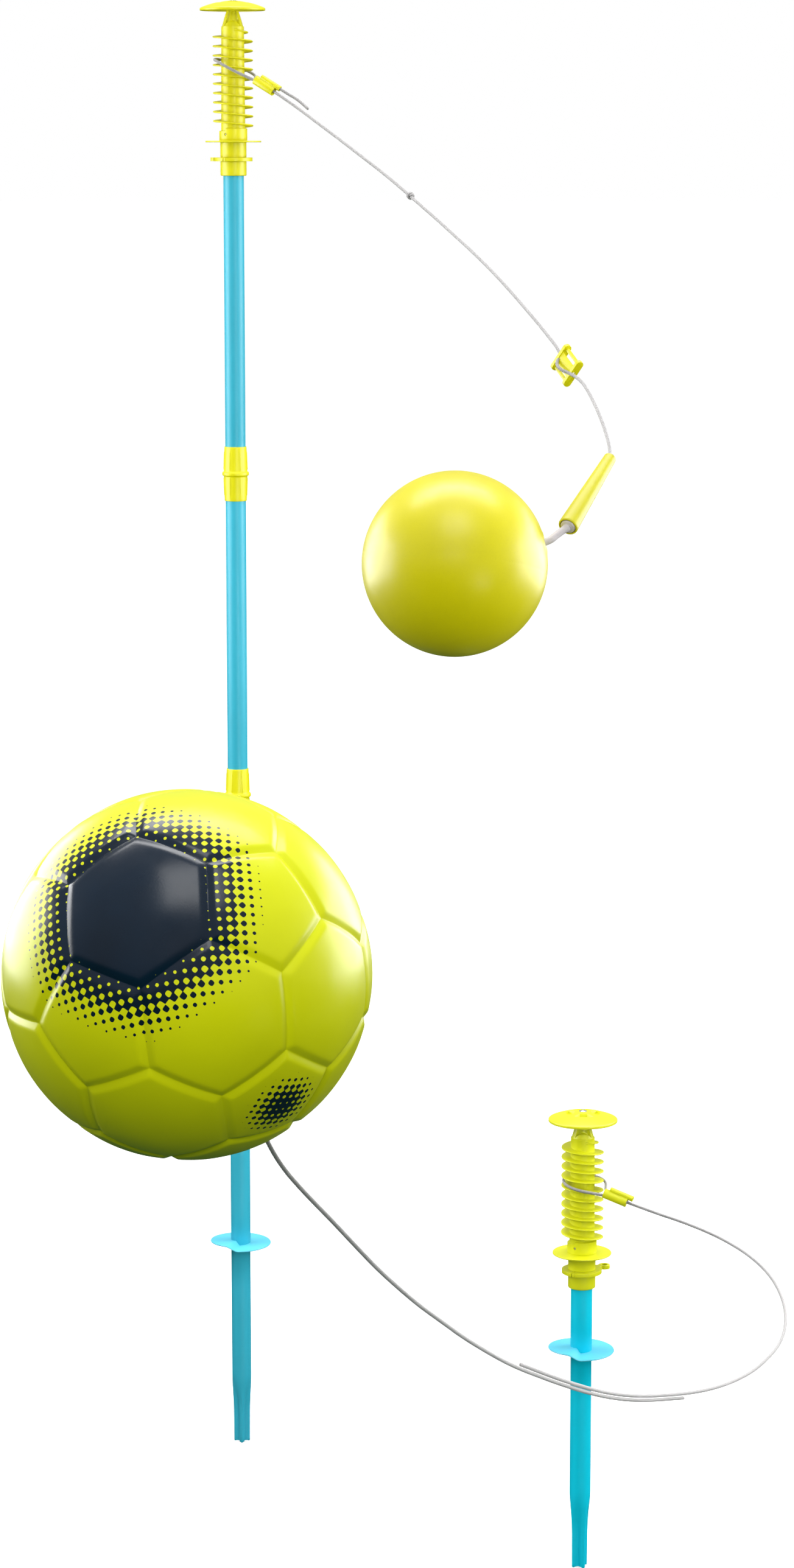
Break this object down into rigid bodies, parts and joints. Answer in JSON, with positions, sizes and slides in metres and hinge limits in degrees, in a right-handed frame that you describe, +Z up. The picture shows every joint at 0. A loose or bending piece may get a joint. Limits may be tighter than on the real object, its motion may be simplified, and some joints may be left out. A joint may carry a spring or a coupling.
{
  "type": "tetherball set",
  "caption": "Garden tetherball set: sectional ground mast with a screw-thread head and corded ball, and a low ground post with the same head and a corded football.",
  "frame": {"origin": "centre of the tall spike where it meets the ground", "axes": "+Z up along the mast, -Y towards the side the balls fly on, +X towards the short post"},
  "size_m": [0.6111, 2.105, 1.603],
  "materials": {
    "post_blue": "satin",
    "disc_blue": "satin",
    "head_yellow": "satin",
    "pin_grey": "satin",
    "cord_white": "matte",
    "tail_white": "matte",
    "grip_yellow": "satin",
    "ball_yellow": "satin",
    "football_yellow": "gloss",
    "bladder_black": "matte"
  },
  "bodies": {
    "ground_posts": {"tall_spike": "post_blue", "tall_ground_disc": "disc_blue", "spike_coupling": "head_yellow", "short_spike": "post_blue", "short_ground_disc": "disc_blue"},
    "lower_mast": {"lower_pole": "post_blue", "lower_coupling": "head_yellow"},
    "middle_mast": {"middle_pole": "post_blue", "upper_coupling": "head_yellow"},
    "upper_mast": {"upper_pole": "post_blue"},
    "tall_head": {"tall_head_socket": "head_yellow", "tall_head_barrel": "head_yellow", "tall_head_cap": "head_yellow", "tall_head_screw": "pin_grey"},
    "tall_ring": {"tall_lock_ring": "head_yellow"},
    "tall_carrier": {"tall_cap_pin": "pin_grey"},
    "tall_tether": {"tall_cord_loop": "cord_white", "tall_cord_clamp": "head_yellow", "tall_cord_free_end": "cord_white", "tall_cord": "cord_white", "cord_knot": "cord_white", "cord_adjuster": "head_yellow", "grip_top_bush": "tail_white", "grip_end_plug": "tail_white", "ball_tail": "tail_white"},
    "grip": {"grip_sleeve": "grip_yellow"},
    "tether_ball": {"tether_ball_skin": "ball_yellow", "tether_ball_anchor": "ball_yellow"},
    "short_head": {"short_head_socket": "head_yellow", "short_head_barrel": "head_yellow", "short_head_cap": "head_yellow", "short_head_screw": "pin_grey"},
    "short_ring": {"short_lock_ring": "head_yellow"},
    "short_carrier": {"short_cap_pin": "pin_grey"},
    "short_tether": {"short_cord_loop": "cord_white", "short_cord_clamp": "head_yellow", "football_cord_head_side": "cord_white", "football_cord_ball_side": "cord_white", "football_cord_knot": "cord_white"},
    "football": {"football_cover": "football_yellow", "football_bladder": "bladder_black", "football_valve": "bladder_black", "football_lug": "football_yellow"}
  },
  "joints": [
    {"name": "lower_pole_lift", "type": "slide", "parent": "ground_posts", "child": "lower_mast", "axis": [0, 0, 1], "range_m": [0, 0.03]},
    {"name": "middle_pole_lift", "type": "slide", "parent": "lower_mast", "child": "middle_mast", "axis": [0, 0, 1], "range_m": [0, 0.03]},
    {"name": "upper_pole_lift", "type": "slide", "parent": "middle_mast", "child": "upper_mast", "axis": [0, 0, 1], "range_m": [0, 0.03]},
    {"name": "tall_head_lift", "type": "slide", "parent": "upper_mast", "child": "tall_head", "axis": [0, 0, 1], "range_m": [0, 0.1]},
    {"name": "tall_ring_turn", "type": "hinge", "parent": "tall_head", "child": "tall_ring", "pos_m": [0, 0, 1.2044], "axis": [0, 0, 1], "continuous": true},
    {"name": "tall_orbit", "type": "hinge", "parent": "tall_head", "child": "tall_carrier", "pos_m": [0, 0, 1.3], "axis": [0, 0, 1], "range_deg": [-720, 1980]},
    {"name": "tall_climb", "type": "slide", "parent": "tall_carrier", "child": "tall_tether", "axis": [0, 0, 1], "range_m": [-0.0542, 0.0198]},
    {"name": "grip_spin", "type": "hinge", "parent": "tall_tether", "child": "grip", "pos_m": [0.3505, -1.026, 0.966], "axis": [-0.4028, -0.7412, -0.5371], "continuous": true},
    {"name": "tether_ball_spin", "type": "hinge", "parent": "tall_tether", "child": "tether_ball", "pos_m": [0.222, -1.103, 0.887], "axis": [0.9703, -0.053, 0.2361], "continuous": true},
    {"name": "short_head_lift", "type": "slide", "parent": "ground_posts", "child": "short_head", "axis": [0, 0, 1], "range_m": [0, 0.1]},
    {"name": "short_ring_turn", "type": "hinge", "parent": "short_head", "child": "short_ring", "pos_m": [0.364, -0.392, 0.0864], "axis": [0, 0, 1], "continuous": true},
    {"name": "short_orbit", "type": "hinge", "parent": "short_head", "child": "short_carrier", "pos_m": [0.364, -0.392, 0.18], "axis": [0, 0, 1], "range_deg": [-135, 200]},
    {"name": "short_climb", "type": "slide", "parent": "short_carrier", "child": "short_tether", "axis": [0, 0, 1], "range_m": [-0.0055, 0.0038]},
    {"name": "football_spin", "type": "hinge", "parent": "short_tether", "child": "football", "pos_m": [0.051, -1.96, 0.735], "axis": [0.2999, 0.5199, -0.7998], "continuous": true}
  ],
  "couplings": [
    {"joint": "tall_climb", "follows": "tall_orbit", "m_per_rad": -0.0015677},
    {"joint": "short_climb", "follows": "short_orbit", "m_per_rad": -0.0015677}
  ]
}
